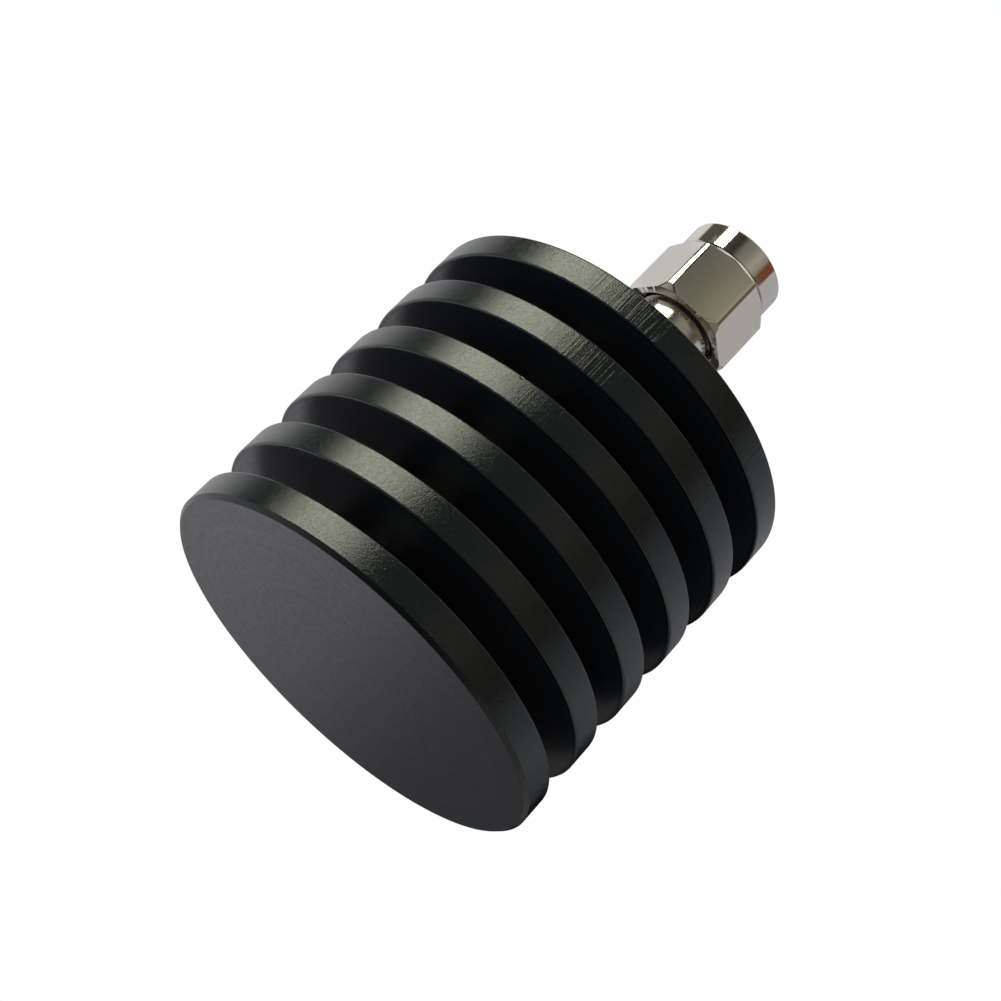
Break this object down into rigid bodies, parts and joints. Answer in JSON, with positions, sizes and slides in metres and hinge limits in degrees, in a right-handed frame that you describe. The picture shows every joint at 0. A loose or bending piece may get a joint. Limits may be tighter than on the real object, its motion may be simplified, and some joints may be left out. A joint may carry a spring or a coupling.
{
  "type": "rf dummy load",
  "caption": "Round finned heat sink that ends in a coaxial plug with a free-turning hex coupling nut; it closes off a radio-frequency line and turns its power into heat.",
  "frame": {"origin": "centre of the closed end face of the heat sink, on the connector axis", "axes": "+Z along the connector axis, from the closed end towards the plug; -Y is the side that the resistor chip is soldered to"},
  "size_m": [0.03, 0.03, 0.0435],
  "materials": {
    "black_anodised": "turned and matt black anodised",
    "nickel_plate": "turned brass, bright nickel plate",
    "nickel_plate_nut": "hexagon brass bar, bright nickel plate",
    "spring_bronze": "bare spring bronze strip",
    "silicone": "moulded red silicone",
    "ptfe": "turned white fluoropolymer",
    "gold_plate": "turned brass, gold plate",
    "ceramic": "fired ceramic",
    "silver_ribbon": "soft silver ribbon"
  },
  "bodies": {
    "load": {"heat_sink": "black_anodised", "connector_body": "nickel_plate", "retaining_ring": "spring_bronze", "gasket": "silicone", "insulator": "ptfe", "centre_contact": "gold_plate", "resistor_chip": "ceramic", "resistor_cover": "ceramic", "resistor_lead": "silver_ribbon"},
    "nut": {"coupling_nut": "nickel_plate_nut"}
  },
  "joints": [
    {"name": "nut_spin", "type": "hinge", "parent": "load", "child": "nut", "pos_m": [0, 0, 0.0395], "axis": [0, 0, 1], "continuous": true}
  ]
}
